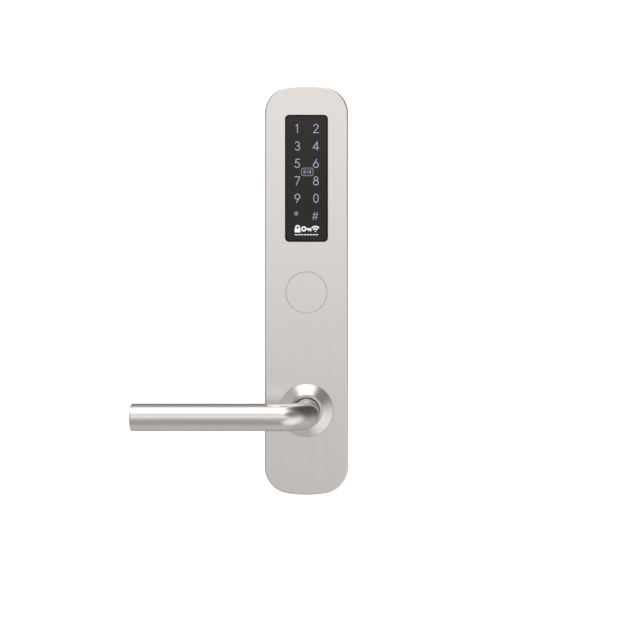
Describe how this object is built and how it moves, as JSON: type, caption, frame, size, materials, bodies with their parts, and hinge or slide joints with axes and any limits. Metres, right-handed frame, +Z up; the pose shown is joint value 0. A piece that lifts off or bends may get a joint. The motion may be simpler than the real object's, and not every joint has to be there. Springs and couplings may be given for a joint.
{
  "type": "keypad smart lock",
  "caption": "Outside unit of a keypad smart lock: tall round-ended escutcheon with glass keypad, covered key cylinder, tubular lever handle and clutched spindle.",
  "frame": {"origin": "on the spindle's axis, at the face that meets the door", "axes": "+Z up the plate, +Y into the door along the spindle, +X to the right as seen from outside; the plate faces -Y and the lever points to -X"},
  "size_m": [0.152, 0.1365, 0.304],
  "materials": {
    "brushed_stainless": "satin brushed along the plate's length",
    "lever_stainless": "satin brushed",
    "rose_stainless": "turned and circularly brushed",
    "cast_zinc": "satin paint",
    "zinc_steel": "zinc plated",
    "black_glass": "polished",
    "foam_rubber": "matt",
    "black_plastic": "fine texture",
    "clear_plastic": "translucent",
    "white_nylon": "matt",
    "circuit_board": "solder resist",
    "black_resin": "moulded",
    "led_white": "gloss",
    "copper": "etched",
    "brass": "machined",
    "spring_steel": "bright",
    "magnet_nickel": "nickel plated",
    "ribbon_white": "satin",
    "red_wire": "satin",
    "acetal": "matt"
  },
  "bodies": {
    "escutcheon": {"face_plate": "brushed_stainless", "plate_nuts": "zinc_steel", "housing": "cast_zinc", "back_plate": "zinc_steel", "back_plate_screws": "zinc_steel", "door_gasket": "foam_rubber", "fixing_posts": "zinc_steel", "cable_grommet": "foam_rubber", "keypad_glass": "black_glass", "keypad_gasket": "foam_rubber", "keypad_carrier": "black_plastic", "carrier_screws": "zinc_steel", "touch_board": "circuit_board", "rfid_antenna": "copper", "key_leds": "led_white", "light_guide": "clear_plastic", "main_board": "circuit_board", "main_board_screws": "zinc_steel", "processor": "black_resin", "buzzer": "black_resin", "board_connectors": "white_nylon", "power_parts": "black_resin", "ribbon_cable": "ribbon_white", "motor_cable": "red_wire", "cylinder_body": "brass", "cylinder_screws": "zinc_steel", "driver_pins": "brass", "chamber_caps": "brass", "pin_springs": "spring_steel", "cover_seat": "zinc_steel", "handle_rose": "rose_stainless", "neck_bush": "white_nylon", "hub_bush": "brass", "stop_pins": "spring_steel", "return_spring": "spring_steel", "clutch_spring": "spring_steel", "motor_gearbox": "brass", "clutch_motor": "zinc_steel", "motor_bracket": "zinc_steel", "bracket_screws": "zinc_steel", "hub_switch": "black_resin", "switch_blade": "spring_steel"},
    "lever": {"lever_tube": "lever_stainless", "neck_insert": "zinc_steel", "lever_set_screw": "spring_steel", "lever_end_cap": "lever_stainless", "drive_hub": "cast_zinc"},
    "spindle": {"spindle_driver": "zinc_steel", "spindle": "zinc_steel", "spindle_pin": "spring_steel"},
    "clutch": {"clutch_ring": "zinc_steel"},
    "fork": {"clutch_fork": "acetal"},
    "motor_shaft": {"motor_screw": "brass"},
    "plug": {"cylinder_plug": "brass", "key_pins": "brass", "plug_clip": "spring_steel", "tailpiece": "zinc_steel"},
    "cover": {"key_cover": "brushed_stainless", "cover_magnets": "magnet_nickel"}
  },
  "joints": [
    {"name": "lever_turn", "type": "hinge", "parent": "escutcheon", "child": "lever", "pos_m": [0, 0, 0], "axis": [0, -1, 0], "range_deg": [0, 45], "stiffness_Nm_per_rad": 1, "springref_deg": -34.38, "deforming": ["return_spring"]},
    {"name": "spindle_turn", "type": "hinge", "parent": "escutcheon", "child": "spindle", "pos_m": [0, 0, 0], "axis": [0, -1, 0], "range_deg": [0, 45]},
    {"name": "clutch_slide", "type": "slide", "parent": "spindle", "child": "clutch", "axis": [0, 1, 0], "range_m": [0, 0.002], "deforming": ["clutch_spring"]},
    {"name": "fork_slide", "type": "slide", "parent": "escutcheon", "child": "fork", "axis": [0, 0, -1], "range_m": [0, 0.004]},
    {"name": "motor_turn", "type": "hinge", "parent": "escutcheon", "child": "motor_shaft", "pos_m": [0, -0.0116, 0.03], "axis": [0, 0, 1], "range_deg": [0, 720]},
    {"name": "key_turn", "type": "hinge", "parent": "escutcheon", "child": "plug", "pos_m": [0, 0, 0.0874], "axis": [0, -1, 0], "range_deg": [-90, 90]},
    {"name": "cover_lift", "type": "slide", "parent": "escutcheon", "child": "cover", "axis": [0, -1, 0], "range_m": [0, 0.012]}
  ],
  "couplings": [
    {"joint": "spindle_turn", "follows": "lever_turn", "ratio": 1},
    {"joint": "clutch_slide", "follows": "fork_slide", "ratio": 0.5},
    {"joint": "motor_turn", "follows": "fork_slide", "rad_per_m": 3141.6}
  ]
}
